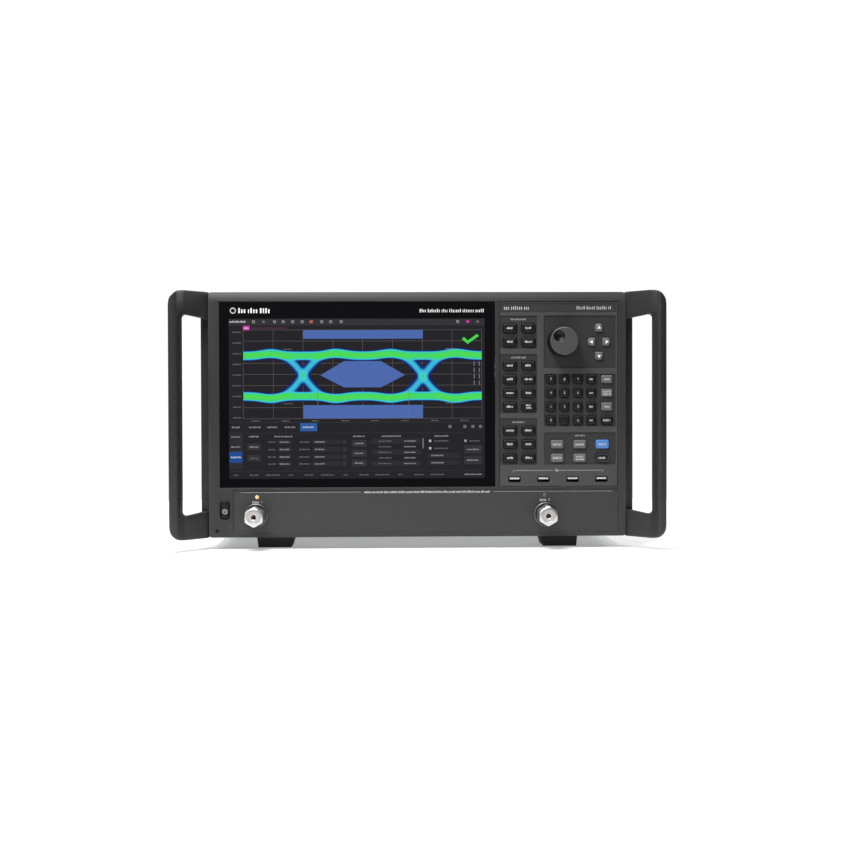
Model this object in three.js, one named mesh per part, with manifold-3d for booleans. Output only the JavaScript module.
// Benchtop vector network analyzer: a 19-inch wide instrument with a touch screen, a key panel,
// two coaxial test ports and a bail handle on each side.
// Millimetres, +Z up. The front faces -Y, +X is to its right. The origin is on the floor,
// under the centre of the whole object.
import * as THREE from "three";
import { mergeVertices } from "three/addons/utils/BufferGeometryUtils.js";
import Module from "manifold-3d";

const wasm = await Module();
wasm.setup();

// ---------- driving dimensions ----------
const GAP = 0.3; // clearance between pieces that touch
const BODY_WIDTH = 426;
const BODY_HEIGHT = 250;
const BODY_DEPTH = 380; // front plane to the rear panel's outer face
const FOOT_HEIGHT = 12;
const HANDLE_REACH = 40; // how far the handles stand in front of the front plane
const HANDLE_HALF_SPAN = 249;
const BUMPER_DEPTH = 12; // rear bumpers behind the rear panel
const FRAME_DEPTH = 30;
const FRAME_WALL = 3.5;
const FRAME_FRONT = 4.3; // thickness of the frame's front wall
const COVER_SHEET = 1.8;
const CHASSIS_SHEET = 2;

const FRONT = (HANDLE_REACH - BODY_DEPTH - BUMPER_DEPTH) / 2; // y of the front plane
const SIDE = BODY_WIDTH / 2;
const FLOOR_TO_BODY = FOOT_HEIGHT;

// Screen: a 12.1-inch 16:10 display behind one sheet of glass.
const GLASS = { x0: -201.7, x1: 79, z0: 50.8, z1: 240.2, front: 0.5, thickness: 3 };
const LCD = { x0: -200, x1: 76, z0: 52.5, z1: 231, thickness: 9 };

// Key panel, right of the screen, with the narrow USB panel below it. Heights are measured from
// the underside of the body.
const PANEL_SEAM = 66.4;
const PANEL = { x0: 83.2, x1: 204.8, z0: PANEL_SEAM - GAP / 2, z1: 240.2, front: 0.8, thickness: 3.2 };
const USB_PANEL = { ...PANEL, z0: 50.8, z1: PANEL_SEAM + GAP / 2 };
const FIELD_SINK = 0.8; // the keys stand in fields that are sunk into the panel
const FIELDS = {
  instrument: { x0: 84.2, x1: 122.2, z0: 192, z1: 225.6 },
  response: { x0: 84.2, x1: 122.2, z0: 126.2, z1: 186.2 },
  stimulus: { x0: 84.2, x1: 122.2, z0: 73.4, z1: 120.8 },
  knob: { x0: 129.2, x1: 202.8, z0: 172.1, z1: 225.6 },
  numeric: { x0: 129.2, x1: 202.8, z0: 112.4, z1: 166 },
  utility: { x0: 129.2, x1: 202.8, z0: 73.4, z1: 106.2 },
};

// Keys
const KEY_FRONT = -0.6; // front of a key, measured back from the front plane
const ROW_PITCH = 14;
const LEFT_COLUMNS = [94.3, 113.2];
const FUNCTION_KEY = { width: 14.2, height: 9.2, radius: 2 };
const NUMBER_KEY = { width: 9.6, height: 9.2, radius: 1.6 };
const UNIT_KEY = { width: 11.8, height: 8.4, radius: 1.6 };
const UTILITY_KEY = { width: 13.4, height: 8.8, radius: 2 };
const ARROW_SIZE = 8.4;
const INSTRUMENT_TOP = 212.8;
const RESPONSE_TOP = 174.6;
const STIMULUS_TOP = 108.3;
const NUMBER_TOP = 160.6;
const NUMBER_COLUMNS = [136.1, 150, 163.9, 177.8];
const UNIT_COLUMN = 193.7;
const UTILITY_TOP = 94.1;
const UTILITY_COLUMNS = [142.6, 165.8, 189];
const ARROW_CENTRE = { x: 185.6, z: 198.8 };
const ARROW_SIDE_OFFSET = 7.7;
const ARROW_RISE = 14.5;

// Knob and its encoder
const KNOB = { x: 148.2, z: 199, baseRadius: 15.8, faceRadius: 14.2, height: 18, shaftRadius: 3 };
const DIMPLE = { dx: -5, dz: 5.2, radius: 7.2, sink: 3.3 };

// USB sockets under the keys
const USB_COLUMNS = [98.8, 128.5, 158.3, 188];
const USB = { z: 58.2, width: 13.3, height: 6.4, wall: 0.35, front: 0.5, depth: 14.5 };

// Lower strip with the test ports and the power key
const PORT_PANEL = { x0: -188.2, x1: 205.2, z0: 4, z1: 48.6, front: 1, thickness: 3 };
const PORT_COLUMNS = { port_1: -165.1, port_2: 130.4 };
const PORT_HEIGHT = 22.8;
const NUT = { acrossFlats: 18.2, front: -30, back: -5, bore: 7.3, mouth: 5.9, step: -23.3, chamfer: 1.6 };
const POWER_KEY = { x: -196.6, z: 27.7, width: 9.6, height: 18, radius: 3 };

// Rear: fan, mains inlet
const FAN = { x: 140, z: 178, size: 80, thickness: 25, bore: 38, hub: 17, blades: 7 };
const INLET = { x: -160, z: 33, width: 27, height: 20, wall: 1.6 };

// Feet
const FOOT = { x: 147, width: 38, depth: 40, front: 22, rear: 318, outerCut: 1.4, innerCut: 2.4 };
const LEG = { width: 20, length: 27, thickness: 4.6, pivotInset: 8, pivotZ: 5.2, pinRadius: 1.5 };

// ---------- helpers ----------
// d is a distance behind the front plane; h is a height above the underside of the body.
const yAt = (d) => FRONT + d;
const zAt = (h) => FLOOR_TO_BODY + h;

function solid(geometry) {
  const bare = geometry.index ? geometry.toNonIndexed() : geometry;
  bare.deleteAttribute("normal");
  bare.deleteAttribute("uv");
  const merged = mergeVertices(bare, 1e-4);
  return new wasm.Manifold(
    new wasm.Mesh({
      numProp: 3,
      vertProperties: merged.attributes.position.array,
      triVerts: new Uint32Array(merged.index.array),
    }),
  );
}

function geometryOf(manifold) {
  const mesh = manifold.getMesh();
  const geometry = new THREE.BufferGeometry();
  geometry.setAttribute("position", new THREE.BufferAttribute(mesh.vertProperties, mesh.numProp));
  geometry.setIndex(new THREE.BufferAttribute(mesh.triVerts, 1));
  geometry.computeVertexNormals();
  return geometry;
}

function box(x0, x1, d0, d1, h0, h1) {
  const geometry = new THREE.BoxGeometry(x1 - x0, d1 - d0, h1 - h0);
  geometry.translate((x0 + x1) / 2, yAt((d0 + d1) / 2), zAt((h0 + h1) / 2));
  return solid(geometry);
}

// A shape drawn in X and height, extruded along the depth.
function frontExtrusion(shape, d0, d1, chamfer = 0, curveSegments = 3) {
  const geometry = new THREE.ExtrudeGeometry(shape, {
    depth: d1 - d0 - 2 * chamfer,
    bevelEnabled: chamfer > 0,
    bevelThickness: chamfer,
    bevelSize: chamfer,
    bevelOffset: -chamfer,
    bevelSegments: 1,
    curveSegments,
  });
  geometry.rotateX(Math.PI / 2);
  geometry.translate(0, yAt(d1 - chamfer), FLOOR_TO_BODY);
  return solid(geometry);
}

// Corners are given counter-clockwise from the lower left: each has its own radius.
function roundedRectangle(cx, cz, width, height, radii) {
  const [lowerLeft, lowerRight, upperRight, upperLeft] = Array.isArray(radii)
    ? radii
    : [radii, radii, radii, radii];
  const x0 = cx - width / 2;
  const x1 = cx + width / 2;
  const z0 = cz - height / 2;
  const z1 = cz + height / 2;
  const shape = new THREE.Shape();
  shape.moveTo(x0 + lowerLeft, z0);
  shape.lineTo(x1 - lowerRight, z0);
  if (lowerRight > 0) shape.absarc(x1 - lowerRight, z0 + lowerRight, lowerRight, -Math.PI / 2, 0);
  shape.lineTo(x1, z1 - upperRight);
  if (upperRight > 0) shape.absarc(x1 - upperRight, z1 - upperRight, upperRight, 0, Math.PI / 2);
  shape.lineTo(x0 + upperLeft, z1);
  if (upperLeft > 0) shape.absarc(x0 + upperLeft, z1 - upperLeft, upperLeft, Math.PI / 2, Math.PI);
  shape.lineTo(x0, z0 + lowerLeft);
  if (lowerLeft > 0) shape.absarc(x0 + lowerLeft, z0 + lowerLeft, lowerLeft, Math.PI, 1.5 * Math.PI);
  return shape;
}

// A round solid about a depth axis at (x, h). The profile holds [radius, depth] points
// from the front to the back, and starts and ends on the axis.
function turned(profile, x, h, segments = 24) {
  const points = profile.map(([radius, d]) => new THREE.Vector2(radius, d));
  const geometry = new THREE.LatheGeometry(points, segments);
  geometry.translate(x, FRONT, zAt(h));
  return solid(geometry);
}

function disc(radius, d0, d1, x, h, segments = 24) {
  const geometry = new THREE.CylinderGeometry(radius, radius, d1 - d0, segments);
  geometry.translate(x, yAt((d0 + d1) / 2), zAt(h));
  return solid(geometry);
}

// A rod along X.
function crossRod(radius, x0, x1, d, h, segments = 12) {
  const geometry = new THREE.CylinderGeometry(radius, radius, x1 - x0, segments);
  geometry.rotateZ(Math.PI / 2);
  geometry.translate((x0 + x1) / 2, yAt(d), zAt(h));
  return solid(geometry);
}

const join = (solids) => solids.reduce((whole, next) => whole.add(next));
const cut = (stock, tools) => stock.subtract(join(tools));

const FINISHES = {
  painted: { color: 0x3a3b3d, roughness: 0.55, metalness: 0.2 },
  panel: { color: 0x2e2f31, roughness: 0.6, metalness: 0.1 },
  darkKey: { color: 0x0c0c0d, roughness: 0.5, metalness: 0 },
  greyKey: { color: 0x6f7274, roughness: 0.5, metalness: 0 },
  blueKey: { color: 0x2f7fe0, roughness: 0.4, metalness: 0 },
  glass: { color: 0x07080a, roughness: 0.08, metalness: 0 },
  steel: { color: 0xc4c4c0, roughness: 0.3, metalness: 1 },
  zinc: { color: 0x9fa2a4, roughness: 0.45, metalness: 0.9 },
  board: { color: 0x1f5a35, roughness: 0.6, metalness: 0 },
  rubber: { color: 0x141415, roughness: 0.8, metalness: 0 },
  black: { color: 0x18191a, roughness: 0.6, metalness: 0 },
};

const analyzer = new THREE.Group();

function addPiece(name, manifold, finish) {
  const mesh = new THREE.Mesh(geometryOf(manifold), new THREE.MeshStandardMaterial(FINISHES[finish]));
  mesh.name = name;
  analyzer.add(mesh);
}

// ---------- front frame ----------
function frontFrame() {
  const outline = roundedRectangle(0, BODY_HEIGHT / 2, BODY_WIDTH, BODY_HEIGHT, FRAME_WALL);
  const block = frontExtrusion(outline, 0, FRAME_DEPTH);
  // Side view: a wide slope along the top edge and a narrow one along the bottom.
  const slope = new THREE.Shape();
  slope.moveTo(0, 5);
  slope.lineTo(2.5, 0);
  slope.lineTo(FRAME_DEPTH, 0);
  slope.lineTo(FRAME_DEPTH, BODY_HEIGHT);
  slope.lineTo(3, BODY_HEIGHT);
  slope.lineTo(0, BODY_HEIGHT - 9);
  const wedge = new THREE.ExtrudeGeometry(slope, { depth: BODY_WIDTH, bevelEnabled: false });
  wedge.rotateX(Math.PI / 2);
  wedge.rotateZ(Math.PI / 2);
  wedge.translate(-SIDE, FRONT, FLOOR_TO_BODY);
  const inside = box(
    -SIDE + FRAME_WALL,
    SIDE - FRAME_WALL,
    FRAME_FRONT,
    FRAME_DEPTH + 1,
    FRAME_WALL,
    BODY_HEIGHT - FRAME_WALL,
  );
  const through = (part) => box(part.x0, part.x1, -1, FRAME_FRONT + 1, part.z0, part.z1);
  const keySlot = roundedRectangle(
    POWER_KEY.x,
    POWER_KEY.z,
    POWER_KEY.width + 2 * GAP,
    POWER_KEY.height + 2 * GAP,
    POWER_KEY.radius + GAP,
  );
  return cut(block.intersect(solid(wedge)), [
    inside,
    through(GLASS),
    through(PANEL),
    through(USB_PANEL),
    through(PORT_PANEL),
    frontExtrusion(keySlot, -1, FRAME_FRONT + 1),
    disc(1.7, -1, FRAME_FRONT + 1, -204.4, 6.9, 12),
  ]);
}
addPiece("front_frame", frontFrame(), "painted");

// A plate that fills its opening in the front frame, less the gap.
function insetPlate(part) {
  return box(
    part.x0 + GAP,
    part.x1 - GAP,
    part.front,
    part.front + part.thickness,
    part.z0 + GAP,
    part.z1 - GAP,
  );
}

addPiece("touch_glass", insetPlate(GLASS), "glass");
const lcdFront = GLASS.front + GLASS.thickness + GAP;
addPiece("lcd_module", box(LCD.x0, LCD.x1, lcdFront, lcdFront + LCD.thickness, LCD.z0, LCD.z1), "zinc");

// ---------- keys ----------
// Every key: its place, its outline and its finish. Radii are counter-clockwise from lower left.
const keys = [];
function addKeyBlock(prefix, columns, top, rows, size, finishes) {
  for (let row = 0; row < rows; row += 1)
    columns.forEach((x, column) => {
      const number = row * columns.length + column;
      keys.push({
        name: `${prefix}_key_${number + 1}`,
        x,
        z: top - row * ROW_PITCH,
        ...size,
        finish: finishes[number] ?? finishes[0],
      });
    });
}
addKeyBlock("instrument", LEFT_COLUMNS, INSTRUMENT_TOP, 2, FUNCTION_KEY, ["darkKey"]);
addKeyBlock("response", LEFT_COLUMNS, RESPONSE_TOP, 4, FUNCTION_KEY, ["darkKey"]);
addKeyBlock("stimulus", LEFT_COLUMNS, STIMULUS_TOP, 3, FUNCTION_KEY, ["darkKey"]);
addKeyBlock("utility", UTILITY_COLUMNS, UTILITY_TOP, 2, UTILITY_KEY, [
  "greyKey",
  "greyKey",
  "blueKey",
  "greyKey",
  "greyKey",
  "darkKey",
]);

const ARROW_SQUARE = 1.2; // corner radius on the inner side
const ARROW_ROUND = 3.6; // corner radius on the outer side
const arrows = {
  up: { dx: 0, dz: ARROW_RISE, radius: [ARROW_SQUARE, ARROW_SQUARE, ARROW_ROUND, ARROW_ROUND] },
  down: { dx: 0, dz: -ARROW_RISE, radius: [ARROW_ROUND, ARROW_ROUND, ARROW_SQUARE, ARROW_SQUARE] },
  left: { dx: -ARROW_SIDE_OFFSET, dz: 0, radius: [ARROW_ROUND, ARROW_SQUARE, ARROW_SQUARE, ARROW_ROUND] },
  right: { dx: ARROW_SIDE_OFFSET, dz: 0, radius: [ARROW_SQUARE, ARROW_ROUND, ARROW_ROUND, ARROW_SQUARE] },
};
for (const [direction, arrow] of Object.entries(arrows))
  keys.push({
    name: `arrow_key_${direction}`,
    x: ARROW_CENTRE.x + arrow.dx,
    z: ARROW_CENTRE.z + arrow.dz,
    width: ARROW_SIZE,
    height: ARROW_SIZE,
    radius: arrow.radius,
    finish: "greyKey",
  });

const FLANGE_FRONT = PANEL.front + PANEL.thickness + GAP;
const FLANGE_BACK = FLANGE_FRONT + 1.2;
const FLANGE_MARGIN = 1; // how far the flange behind the panel is wider than the cap
const PLUNGER_BACK = 7.2;

// The cap seen from the front, with the flange that keeps it behind the panel and its plunger.
function keyCap(key) {
  const outline = roundedRectangle(key.x, key.z, key.width, key.height, key.radius);
  const halfWidth = key.width / 2 + FLANGE_MARGIN;
  const halfHeight = key.height / 2 + FLANGE_MARGIN;
  return join([
    frontExtrusion(outline, KEY_FRONT, FLANGE_FRONT + 0.5, 0, 1),
    box(
      key.x - halfWidth,
      key.x + halfWidth,
      FLANGE_FRONT,
      FLANGE_BACK,
      key.z - halfHeight,
      key.z + halfHeight,
    ),
    box(key.x - 2, key.x + 2, FLANGE_BACK - 0.5, PLUNGER_BACK, key.z - 2, key.z + 2),
  ]);
}
for (const key of keys) addPiece(key.name, keyCap(key), key.finish);

// The number pad: each row of five caps stands on one bar behind the panel.
const padKeys = [];
const PAD_ROWS = 4;
for (let row = 0; row < PAD_ROWS; row += 1) {
  const z = NUMBER_TOP - row * ROW_PITCH;
  const caps = NUMBER_COLUMNS.map((x) => ({ x, z, ...NUMBER_KEY }));
  caps.push({ x: UNIT_COLUMN, z, ...UNIT_KEY });
  padKeys.push(...caps);
  const bar = box(NUMBER_COLUMNS[0], UNIT_COLUMN, FLANGE_FRONT, FLANGE_BACK, z - 2.5, z + 2.5);
  addPiece(`number_row_${row + 1}`, join([bar, ...caps.map(keyCap)]), "darkKey");
}

// ---------- key panel and USB panel ----------
function panelHole(x, z, width, height) {
  return box(
    x - width / 2 - GAP,
    x + width / 2 + GAP,
    PANEL.front - 1,
    PANEL.front + PANEL.thickness + 1,
    z - height / 2 - GAP,
    z + height / 2 + GAP,
  );
}

function keyPanel() {
  const fieldFloor = PANEL.front + FIELD_SINK;
  const pockets = Object.values(FIELDS).map((field) =>
    box(field.x0, field.x1, PANEL.front - 1, fieldFloor, field.z0, field.z1),
  );
  const keyHoles = [...keys, ...padKeys].map((key) => panelHole(key.x, key.z, key.width, key.height));
  const shaftHole = disc(KNOB.shaftRadius + 1, PANEL.front - 1, 6, KNOB.x, KNOB.z, 16);
  return cut(insetPlate(PANEL), [...pockets, ...keyHoles, shaftHole]);
}
addPiece("control_panel", keyPanel(), "panel");

const usbHoles = USB_COLUMNS.map((x) => panelHole(x, USB.z, USB.width, USB.height));
addPiece("usb_panel", cut(insetPlate(USB_PANEL), usbHoles), "panel");

// Circuit board behind the keys, with the encoder and the four USB sockets soldered to it.
const BOARD_FRONT = 9.5;
const BOARD_THICKNESS = 1.6;
function keyBoard() {
  const board = box(PANEL.x0 + 2, PANEL.x1 - 2, BOARD_FRONT, BOARD_FRONT + BOARD_THICKNESS, 52, 238);
  const encoder = box(KNOB.x - 7, KNOB.x + 7, 5, BOARD_FRONT + 1, KNOB.z - 7, KNOB.z + 7);
  const halfWidth = USB.width / 2;
  const halfHeight = USB.height / 2;
  const back = USB.front + USB.depth;
  const shells = USB_COLUMNS.map((x) =>
    box(x - halfWidth, x + halfWidth, USB.front, back, USB.z - halfHeight, USB.z + halfHeight),
  );
  const cavities = USB_COLUMNS.map((x) =>
    box(
      x - halfWidth + USB.wall,
      x + halfWidth - USB.wall,
      USB.front - 1,
      back - 1.5,
      USB.z - halfHeight + USB.wall,
      USB.z + halfHeight - USB.wall,
    ),
  );
  return cut(join([board, encoder, ...shells]), cavities);
}
addPiece("key_board", keyBoard(), "board");

// ---------- knob ----------
function knob() {
  const base = PANEL.front + FIELD_SINK - GAP;
  const face = base - KNOB.height;
  const body = turned(
    [
      [0, face],
      [KNOB.faceRadius - 1, face],
      [KNOB.faceRadius, face + 1],
      [KNOB.faceRadius + 0.6, base - 3],
      [KNOB.baseRadius, base - 2],
      [KNOB.baseRadius, base],
      [0, base],
    ],
    KNOB.x,
    KNOB.z,
    36,
  );
  const dimple = new THREE.SphereGeometry(DIMPLE.radius, 20, 14);
  dimple.translate(
    KNOB.x + DIMPLE.dx,
    yAt(face + DIMPLE.sink - DIMPLE.radius),
    zAt(KNOB.z + DIMPLE.dz),
  );
  const shaft = disc(KNOB.shaftRadius, base - 1, 4.7, KNOB.x, KNOB.z, 16);
  return body.subtract(solid(dimple)).add(shaft);
}
addPiece("knob", knob(), "panel");

// ---------- power key ----------
function powerKey() {
  const outline = roundedRectangle(
    POWER_KEY.x,
    POWER_KEY.z,
    POWER_KEY.width,
    POWER_KEY.height,
    POWER_KEY.radius,
  );
  const flangeFront = FRAME_FRONT + GAP;
  const flange = roundedRectangle(
    POWER_KEY.x,
    POWER_KEY.z,
    POWER_KEY.width + 2,
    POWER_KEY.height + 2,
    POWER_KEY.radius,
  );
  return frontExtrusion(outline, 0.2, flangeFront + 0.6).add(
    frontExtrusion(flange, flangeFront, flangeFront + 1.2, 0, 1),
  );
}
addPiece("power_key", powerKey(), "black");

// ---------- port panel, test ports and their coupling nuts ----------
const PORT_BARREL = 7;
const PORT_FLANGE = 12;
const PORT_TAIL = 24; // the coaxial cable starts here, inside the case
const portHoles = Object.values(PORT_COLUMNS).map((x) =>
  disc(PORT_BARREL + GAP, -1, PORT_PANEL.front + PORT_PANEL.thickness + 1, x, PORT_HEIGHT),
);
addPiece("port_panel", cut(insetPlate(PORT_PANEL), portHoles), "painted");

function testPort(x) {
  const flangeBack = PORT_PANEL.front - GAP;
  return turned(
    [
      [0, -27.5],
      [0.8, -27.5],
      [0.8, -21],
      [2.6, -21],
      [2.6, -29],
      [NUT.mouth - GAP, -29],
      [NUT.mouth - GAP, NUT.step + GAP],
      [PORT_BARREL, NUT.step + GAP],
      [PORT_BARREL, flangeBack - 3.5],
      [PORT_FLANGE, flangeBack - 3.5],
      [PORT_FLANGE, flangeBack],
      [PORT_BARREL, flangeBack],
      [PORT_BARREL, 20],
      [2, 20],
      [2, PORT_TAIL],
      [0, PORT_TAIL],
    ],
    x,
    PORT_HEIGHT,
    20,
  );
}

// A hexagonal nut with a point upwards, turning on the port's barrel.
function couplingNut(x) {
  const cornerRadius = NUT.acrossFlats / Math.sqrt(3);
  const hexagon = new THREE.CylinderGeometry(cornerRadius, cornerRadius, NUT.back - NUT.front, 6);
  hexagon.translate(x, yAt((NUT.front + NUT.back) / 2), zAt(PORT_HEIGHT));
  const chamfers = turned(
    [
      [0, NUT.front],
      [NUT.acrossFlats / 2 - 0.6, NUT.front],
      [cornerRadius + 0.2, NUT.front + NUT.chamfer],
      [cornerRadius + 0.2, NUT.back],
      [0, NUT.back],
    ],
    x,
    PORT_HEIGHT,
  );
  return cut(solid(hexagon).intersect(chamfers), [
    disc(NUT.bore, NUT.step, NUT.back + 1, x, PORT_HEIGHT),
    disc(NUT.mouth, NUT.front - 1, NUT.step + 1, x, PORT_HEIGHT),
  ]);
}
for (const [name, x] of Object.entries(PORT_COLUMNS)) {
  addPiece(name, testPort(x), "steel");
  addPiece(`${name}_nut`, couplingNut(x), "steel");
}

// ---------- handles ----------
// Seen from above, the handle runs from a rail on the body's side, forwards and outwards, to a
// grip. A window between the rail and the grip takes the fingers.
const GRIP_INNER = 237.4;
const WINDOW_EDGE = 24; // height of the arms above and below the window, at the grip
const WINDOW_TAPER = 2.7; // how much higher the arms are at the rail
const RAIL_THICKNESS = 8;
const RAIL_FRONT = 8;

// The finger window seen from the front, from the grip to innerX.
function fingerWindow(mirror, innerX) {
  const corner = 3.5;
  const middle = BODY_HEIGHT / 2;
  const outerHalf = middle - WINDOW_EDGE;
  const slope = WINDOW_TAPER / (GRIP_INNER - SIDE - RAIL_THICKNESS);
  const innerHalf = outerHalf - slope * (GRIP_INNER - innerX);
  const outer = mirror * GRIP_INNER;
  const eased = mirror * (GRIP_INNER - corner);
  const shape = new THREE.Shape();
  shape.moveTo(mirror * innerX, middle - innerHalf);
  shape.lineTo(eased, middle - outerHalf);
  shape.quadraticCurveTo(outer, middle - outerHalf, outer, middle - outerHalf + corner);
  shape.lineTo(outer, middle + outerHalf - corner);
  shape.quadraticCurveTo(outer, middle + outerHalf, eased, middle + outerHalf);
  shape.lineTo(mirror * innerX, middle + innerHalf);
  return shape;
}

function handle(mirror) {
  const plan = new THREE.Shape();
  const point = (x, d) => new THREE.Vector2(mirror * x, yAt(d));
  const inner = SIDE + GAP;
  plan.setFromPoints([
    point(inner, 26),
    point(inner, -1),
    point(234, -28),
    point(239.5, -38),
    point(241.5, -HANDLE_REACH),
    point(246, -HANDLE_REACH),
    point(248.4, -38.4),
    point(HANDLE_HALF_SPAN, -36),
    point(HANDLE_HALF_SPAN, -24),
    point(247, -18.5),
    point(GRIP_INNER, -15.5),
    point(inner + RAIL_THICKNESS + 1, 10),
    point(inner + RAIL_THICKNESS, 14),
    point(inner + RAIL_THICKNESS, 26),
  ]);
  const bar = new THREE.ExtrudeGeometry(plan, { depth: BODY_HEIGHT, bevelEnabled: false });
  bar.translate(0, 0, FLOOR_TO_BODY);
  const outerRadius = 16;
  const innerRadius = 4;
  const left = mirror < 0;
  const outline = roundedRectangle(
    (mirror * (inner + HANDLE_HALF_SPAN)) / 2,
    BODY_HEIGHT / 2,
    HANDLE_HALF_SPAN - inner,
    BODY_HEIGHT,
    left
      ? [outerRadius, innerRadius, innerRadius, outerRadius]
      : [innerRadius, outerRadius, outerRadius, innerRadius],
  );
  return cut(solid(bar).intersect(frontExtrusion(outline, -HANDLE_REACH - 1, 30, 0, 8)), [
    frontExtrusion(fingerWindow(mirror, inner + RAIL_THICKNESS), -HANDLE_REACH - 1, 30),
    frontExtrusion(fingerWindow(mirror, inner - 1), -HANDLE_REACH - 1, RAIL_FRONT),
  ]);
}
addPiece("left_handle", handle(-1), "painted");
addPiece("right_handle", handle(1), "painted");

// ---------- case ----------
const CASE_FRONT = FRAME_DEPTH + GAP;
const REAR_PANEL_FRONT = BODY_DEPTH - 2.5;
const COVER_INSIDE = SIDE - COVER_SHEET;
const coverOutline = roundedRectangle(0, BODY_HEIGHT / 2, BODY_WIDTH, BODY_HEIGHT, [0, 0, 3, 3]);
const coverHollow = box(
  -COVER_INSIDE,
  COVER_INSIDE,
  CASE_FRONT - 1,
  BODY_DEPTH + 1,
  -1,
  BODY_HEIGHT - COVER_SHEET,
);
addPiece("top_cover", frontExtrusion(coverOutline, CASE_FRONT, BODY_DEPTH).subtract(coverHollow), "painted");

const TRAY_HALF = COVER_INSIDE - GAP;
const TRAY_WALL_HEIGHT = 100;
const tray = box(-TRAY_HALF, TRAY_HALF, CASE_FRONT, REAR_PANEL_FRONT - GAP, 0, TRAY_WALL_HEIGHT);
const trayHollow = box(
  -TRAY_HALF + CHASSIS_SHEET,
  TRAY_HALF - CHASSIS_SHEET,
  CASE_FRONT - 1,
  BODY_DEPTH,
  CHASSIS_SHEET,
  TRAY_WALL_HEIGHT + 1,
);
addPiece("chassis", tray.subtract(trayHollow), "zinc");

// The rear panel closes the cover. A bumper on each corner keeps the connectors off the floor
// when the instrument is stood on its back.
function rearPanel() {
  const low = CHASSIS_SHEET + GAP;
  const high = BODY_HEIGHT - COVER_SHEET - GAP;
  const plate = box(-TRAY_HALF, TRAY_HALF, REAR_PANEL_FRONT, BODY_DEPTH, low, high);
  const bumperSize = 24;
  const bumpers = [];
  for (const side of [-1, 1])
    for (const h of [bumperSize / 2, BODY_HEIGHT - bumperSize / 2]) {
      const x = side * (SIDE - bumperSize / 2);
      const outline = roundedRectangle(x, h, bumperSize, bumperSize, 5);
      bumpers.push(frontExtrusion(outline, BODY_DEPTH + GAP, BODY_DEPTH + BUMPER_DEPTH, 1));
      const boss = bumperSize / 2 - 4;
      bumpers.push(box(x - boss, x + boss, BODY_DEPTH - 1, BODY_DEPTH + 2, h - boss, h + boss));
    }
  const slots = [];
  const slotPitch = 8;
  const slotCount = 9;
  for (let index = 0; index < slotCount; index += 1) {
    const offset = (index - (slotCount - 1) / 2) * slotPitch;
    const half = Math.sqrt(FAN.bore ** 2 - offset ** 2);
    const x = FAN.x + offset;
    slots.push(box(x - 2.4, x + 2.4, REAR_PANEL_FRONT - 1, BODY_DEPTH + 1, FAN.z - half, FAN.z + half));
  }
  const inletHole = box(
    INLET.x - INLET.width / 2 - GAP,
    INLET.x + INLET.width / 2 + GAP,
    REAR_PANEL_FRONT - 1,
    BODY_DEPTH + 1,
    INLET.z - INLET.height / 2 - GAP,
    INLET.z + INLET.height / 2 + GAP,
  );
  return cut(join([plate, ...bumpers]), [...slots, inletHole]);
}
addPiece("rear_panel", rearPanel(), "zinc");

// ---------- inside the case ----------
function powerSupply() {
  const can = box(-205, -110, 200, 370, 8, 58);
  const halfWidth = INLET.width / 2;
  const halfHeight = INLET.height / 2;
  const z = INLET.z;
  const inlet = box(
    INLET.x - halfWidth,
    INLET.x + halfWidth,
    369,
    BODY_DEPTH + 1.5,
    z - halfHeight,
    z + halfHeight,
  );
  const socket = box(
    INLET.x - halfWidth + INLET.wall,
    INLET.x + halfWidth - INLET.wall,
    BODY_DEPTH - 14,
    BODY_DEPTH + 3,
    z - halfHeight + INLET.wall,
    z + halfHeight - INLET.wall,
  );
  return can.add(inlet).subtract(socket);
}
addPiece("power_supply", powerSupply(), "zinc");

// A milled shield can for the source and receivers, with a rigid coaxial line to each port. The
// controller board stands on four posts on its lid, with a finned heat sink.
function rfModule() {
  const canFront = 60;
  const lidTop = 55;
  const boardHeight = 62;
  const can = box(-195, 175, canFront, 190, 8, 52);
  const lid = box(-188, 168, canFront + 7, 183, 51, lidTop);
  const lines = Object.values(PORT_COLUMNS).map((x) =>
    disc(1.8, PORT_TAIL + GAP, canFront + 1, x, PORT_HEIGHT, 10),
  );
  const board = box(-90, 95, 70, 180, boardHeight, boardHeight + 2);
  const sinkBase = box(-30, 30, 95, 155, boardHeight + 1, boardHeight + 7);
  const pieces = [can, lid, ...lines, board, sinkBase];
  for (const x of [-86, 91])
    for (const d of [74, 176]) pieces.push(box(x - 3, x + 3, d - 3, d + 3, lidTop - 1, boardHeight + 1));
  const fins = 7;
  for (let index = 0; index < fins; index += 1) {
    const x = -30 + (60 / fins) * (index + 0.5);
    pieces.push(box(x - 1.2, x + 1.2, 95, 155, boardHeight + 6, boardHeight + 26));
  }
  return join(pieces);
}
addPiece("rf_module", rfModule(), "zinc");

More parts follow.
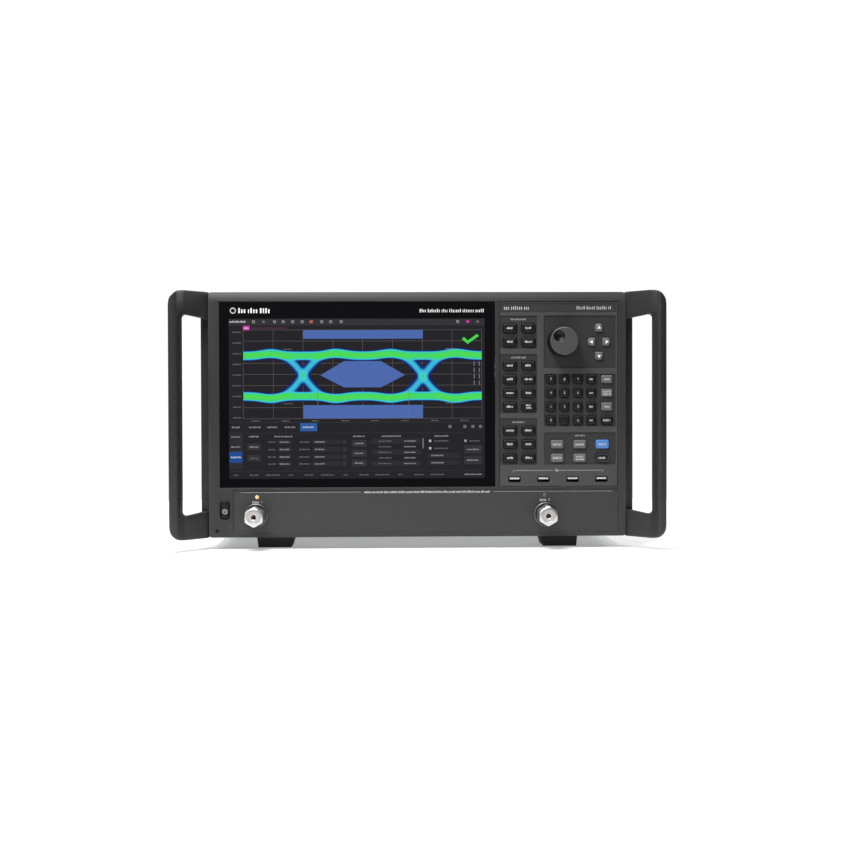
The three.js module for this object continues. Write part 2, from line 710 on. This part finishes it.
// ---------- fan ----------
const FAN_BACK = REAR_PANEL_FRONT - 0.6;
const FAN_FRONT = FAN_BACK - FAN.thickness;
function fanFrame() {
  const half = FAN.size / 2;
  const shell = frontExtrusion(roundedRectangle(FAN.x, FAN.z, FAN.size, FAN.size, 4), FAN_FRONT, FAN_BACK);
  const tunnel = disc(FAN.bore, FAN_FRONT - 1, FAN_BACK + 1, FAN.x, FAN.z, 32);
  const hub = disc(FAN.hub, FAN_BACK - 3, FAN_BACK, FAN.x, FAN.z);
  const struts = [
    box(FAN.x - half + 1, FAN.x + half - 1, FAN_BACK - 3, FAN_BACK, FAN.z - 2, FAN.z + 2),
    box(FAN.x - 2, FAN.x + 2, FAN_BACK - 3, FAN_BACK, FAN.z - half + 1, FAN.z + half - 1),
  ];
  return join([shell.subtract(tunnel), hub, ...struts]);
}
addPiece("fan_frame", fanFrame(), "black");

function fanRotor() {
  const front = FAN_FRONT + 1;
  const back = FAN_BACK - 3 - GAP;
  const length = back - front;
  const pieces = [disc(FAN.hub, front, back, FAN.x, FAN.z)];
  const tip = FAN.bore - 1.5;
  for (let index = 0; index < FAN.blades; index += 1) {
    const blade = new THREE.BoxGeometry(tip - FAN.hub + 2, length * 0.92, 1.6);
    blade.rotateX(THREE.MathUtils.degToRad(38));
    blade.translate((tip + FAN.hub - 2) / 2, 0, 0);
    blade.rotateY((2 * Math.PI * index) / FAN.blades);
    blade.translate(FAN.x, yAt((front + back) / 2), zAt(FAN.z));
    pieces.push(solid(blade));
  }
  return join(pieces);
}
addPiece("fan_rotor", fanRotor(), "black");

// ---------- feet and tilt legs ----------
// A foot seen from the front: its lower corners are cut off, the inner one further.
function footBlock(side, depth) {
  const outer = side * (FOOT.x + FOOT.width / 2);
  const inner = side * (FOOT.x - FOOT.width / 2);
  const outline = new THREE.Shape([
    new THREE.Vector2(outer, -GAP),
    new THREE.Vector2(outer - side * FOOT.outerCut, -FOOT_HEIGHT),
    new THREE.Vector2(inner + side * FOOT.innerCut, -FOOT_HEIGHT),
    new THREE.Vector2(inner, -4),
    new THREE.Vector2(inner, -GAP),
  ]);
  return frontExtrusion(outline, depth, depth + FOOT.depth);
}

const LEG_PIVOT_DEPTH = FOOT.front + LEG.pivotInset;
const LEG_PIVOT_HEIGHT = LEG.pivotZ - FOOT_HEIGHT;
const LEG_PIN_REACH = 2.5;
function frontFoot(side) {
  const x = side * (FOOT.x + 1);
  const slot = LEG.width / 2 + GAP;
  return cut(footBlock(side, FOOT.front), [
    box(x - slot, x + slot, FOOT.front + 4, FOOT.front + FOOT.depth + 1, -FOOT_HEIGHT - 1, -2.5),
    crossRod(
      LEG.pinRadius + GAP,
      x - slot - LEG_PIN_REACH - GAP,
      x + slot + LEG_PIN_REACH + GAP,
      LEG_PIVOT_DEPTH,
      LEG_PIVOT_HEIGHT,
    ),
  ]);
}

function tiltLeg(side) {
  const x = side * (FOOT.x + 1);
  const half = LEG.thickness / 2;
  const reach = LEG.width / 2 + LEG_PIN_REACH;
  return join([
    box(
      x - LEG.width / 2,
      x + LEG.width / 2,
      LEG_PIVOT_DEPTH,
      LEG_PIVOT_DEPTH + LEG.length,
      LEG_PIVOT_HEIGHT - half,
      LEG_PIVOT_HEIGHT + half,
    ),
    crossRod(half, x - LEG.width / 2, x + LEG.width / 2, LEG_PIVOT_DEPTH, LEG_PIVOT_HEIGHT, 16),
    crossRod(LEG.pinRadius, x - reach, x + reach, LEG_PIVOT_DEPTH, LEG_PIVOT_HEIGHT),
  ]);
}
for (const [name, side] of [
  ["left", -1],
  ["right", 1],
]) {
  addPiece(`front_foot_${name}`, frontFoot(side), "rubber");
  addPiece(`tilt_leg_${name}`, tiltLeg(side), "black");
  addPiece(`rear_foot_${name}`, footBlock(side, FOOT.rear), "rubber");
}

export default analyzer;
